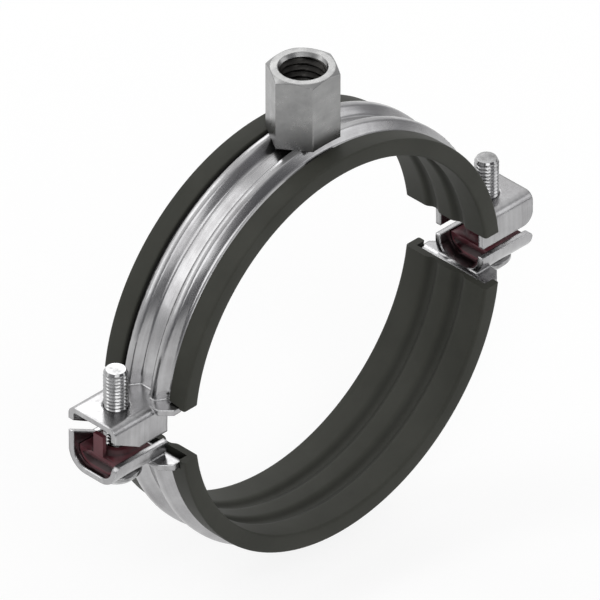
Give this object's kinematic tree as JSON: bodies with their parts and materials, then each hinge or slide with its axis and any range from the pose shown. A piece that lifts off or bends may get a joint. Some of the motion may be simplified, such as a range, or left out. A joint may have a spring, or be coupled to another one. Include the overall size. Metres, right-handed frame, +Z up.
{
  "type": "rubber lined pipe clamp",
  "caption": "Two-part steel pipe clamp with a rubber lining, folded ears closed by screws and a hexagonal threaded boss for a hanging rod.",
  "frame": {"origin": "on the axis of the upper half, where the pipe lies, halfway along the width of the clamp", "axes": "+Z up along the threaded boss, +X across the ears towards the right screw, +Y along the pipe"},
  "size_m": [0.115, 0.022, 0.1063],
  "materials": {
    "galvanised_sheet": "hot-dip galvanised sheet, rolled, semi-bright",
    "boss_steel": "zinc plated free-cutting steel, satin",
    "zinc_plate": "bright zinc plated",
    "lining_rubber": "matt extruded rubber",
    "retainer_plastic": "moulded, fine matt"
  },
  "bodies": {
    "upper_half": {"upper_band": "galvanised_sheet", "connection_boss": "boss_steel", "upper_lining": "lining_rubber"},
    "lower_half": {"lower_band": "galvanised_sheet", "lower_lining": "lining_rubber", "left_retainer": "retainer_plastic", "right_retainer": "retainer_plastic"},
    "left_screw": {"left_screw": "zinc_plate"},
    "right_screw": {"right_screw": "zinc_plate"}
  },
  "joints": [
    {"name": "clamp_close", "type": "slide", "parent": "upper_half", "child": "lower_half", "axis": [0, 0, 1], "range_m": [-0.007, 0.0022]},
    {"name": "left_screw_turn", "type": "hinge", "parent": "lower_half", "child": "left_screw", "pos_m": [-0.051, 0, 0], "axis": [0, 0, 1], "range_deg": [-3151, 991]},
    {"name": "right_screw_turn", "type": "hinge", "parent": "lower_half", "child": "right_screw", "pos_m": [0.051, 0, 0], "axis": [0, 0, 1], "range_deg": [-3151, 991]}
  ],
  "couplings": [
    {"joint": "left_screw_turn", "follows": "clamp_close", "rad_per_m": 7854},
    {"joint": "right_screw_turn", "follows": "clamp_close", "rad_per_m": 7854}
  ]
}
